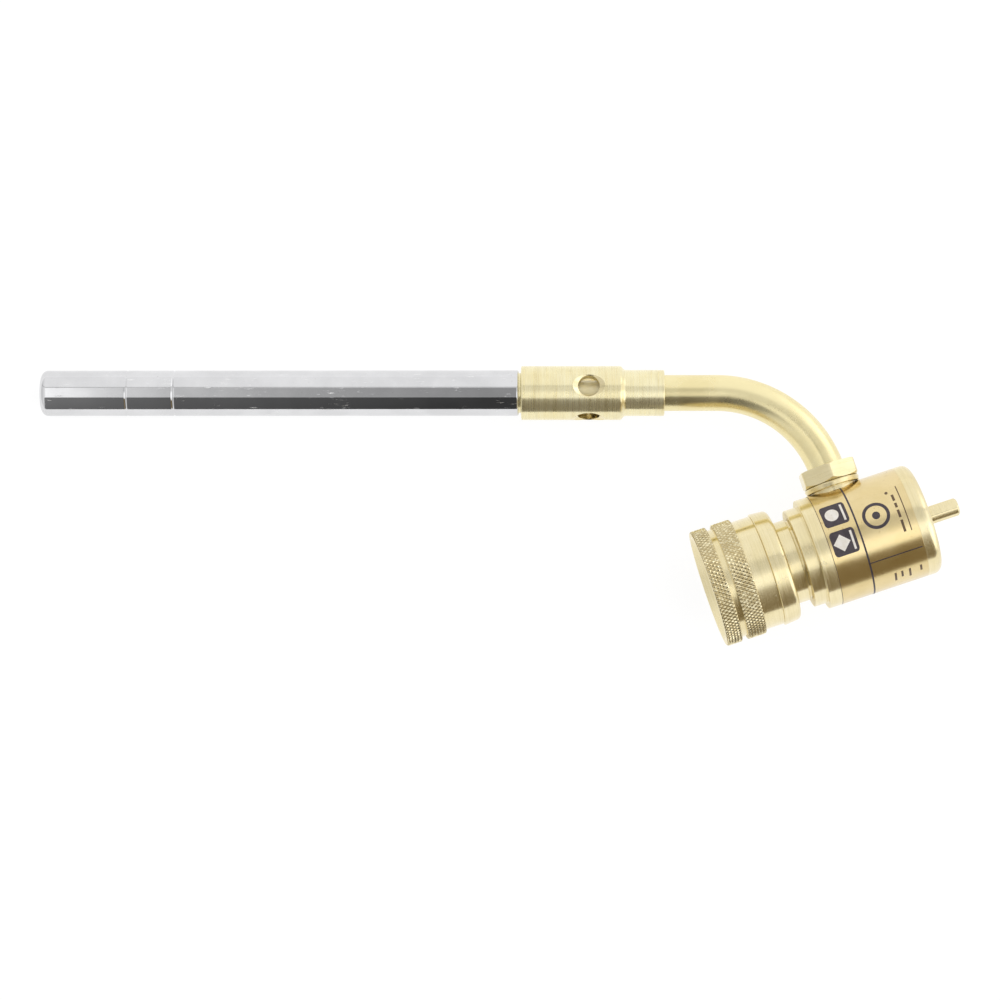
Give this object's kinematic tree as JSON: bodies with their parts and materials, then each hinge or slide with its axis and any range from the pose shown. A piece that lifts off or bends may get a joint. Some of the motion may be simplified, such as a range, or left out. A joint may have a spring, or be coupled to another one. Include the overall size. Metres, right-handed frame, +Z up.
{
  "type": "lampwork torch",
  "caption": "Brass hand torch head for lampworking: knurled cylinder coupling, regulator, bent gas tube, air mixer and a plain chromed burn tube.",
  "frame": {"origin": "centre of the bounding box's base, on the table that the torch lies on", "axes": "+X along the burner from the burn tube's tip towards the mixer, +Y across it away from the regulator's coupling, +Z up from the table"},
  "size_m": [0.254, 0.0772, 0.0332],
  "materials": {
    "chrome_tube": "chrome-plated steel, bright, fine handling scratches",
    "bright_brass": "turned brass, bright, lacquered, pale yellow",
    "drawn_brass": "drawn brass tube, polished",
    "inner_brass": "machined brass, unpolished",
    "knurled_brass": "diamond-knurled brass",
    "label_foil": "self-adhesive gold foil with black printing",
    "spring_steel": "cold-drawn spring wire",
    "hard_steel": "hardened steel, ground",
    "black_rubber": "nitrile rubber",
    "seat_nylon": "moulded nylon",
    "sintered_bronze": "sintered bronze, porous"
  },
  "bodies": {
    "regulator": {"regulator_body": "bright_brass", "regulator_cap": "bright_brass", "label_band": "label_foil", "inlet_nipple": "inner_brass", "inlet_seal": "black_rubber", "depressor_pin": "hard_steel", "inlet_filter": "sintered_bronze", "nipple_seal": "black_rubber", "valve_seat": "seat_nylon", "poppet_spring": "spring_steel", "diaphragm": "black_rubber", "slip_washer": "hard_steel", "control_spring": "spring_steel", "dust_seal": "black_rubber", "outlet_nipple": "bright_brass"},
    "coupling": {"coupling_nut": "knurled_brass"},
    "burner": {"burn_tube": "chrome_tube", "swirl_vanes": "hard_steel", "mixer_body": "bright_brass", "jet_holder": "bright_brass", "gas_jet": "inner_brass", "jet_filter": "sintered_bronze", "gas_tube": "drawn_brass", "tube_ring": "inner_brass", "swivel_seal": "black_rubber"},
    "union_nut": {"swivel_nut": "bright_brass"},
    "button": {"spring_button": "hard_steel", "thrust_ball": "hard_steel"},
    "stem": {"valve_stem": "bright_brass"},
    "valve": {"poppet": "inner_brass", "diaphragm_plate": "hard_steel"}
  },
  "joints": [
    {"name": "coupling_spin", "type": "hinge", "parent": "regulator", "child": "coupling", "pos_m": [0.07365, -0.01776, 0.01639], "axis": [0.9489, 0.315, -0.0192], "continuous": true},
    {"name": "burner_swivel", "type": "hinge", "parent": "regulator", "child": "burner", "pos_m": [0.09079, 0.00915, 0.01344], "axis": [-0.3149, 0.9413, -0.1216], "continuous": true},
    {"name": "union_nut_turn", "type": "hinge", "parent": "regulator", "child": "union_nut", "pos_m": [0.09174, 0.00633, 0.01381], "axis": [-0.3149, 0.9413, -0.1216], "range_deg": [0, 90]},
    {"name": "stem_turn", "type": "hinge", "parent": "button", "child": "stem", "pos_m": [0.11104, -0.00536, 0.01563], "axis": [0.9489, 0.315, -0.0192], "range_deg": [0, 720]},
    {"name": "button_travel", "type": "slide", "parent": "regulator", "child": "button", "axis": [-0.9489, -0.315, 0.0192], "range_m": [0, 0.0025], "deforming": ["control_spring"]},
    {"name": "valve_lift", "type": "slide", "parent": "regulator", "child": "valve", "axis": [-0.9489, -0.315, 0.0192], "range_m": [0, 0.0006], "deforming": ["poppet_spring", "diaphragm"]}
  ],
  "couplings": [
    {"joint": "stem_turn", "follows": "button_travel", "rad_per_m": 5026.5},
    {"joint": "valve_lift", "follows": "button_travel", "ratio": 0.24}
  ]
}
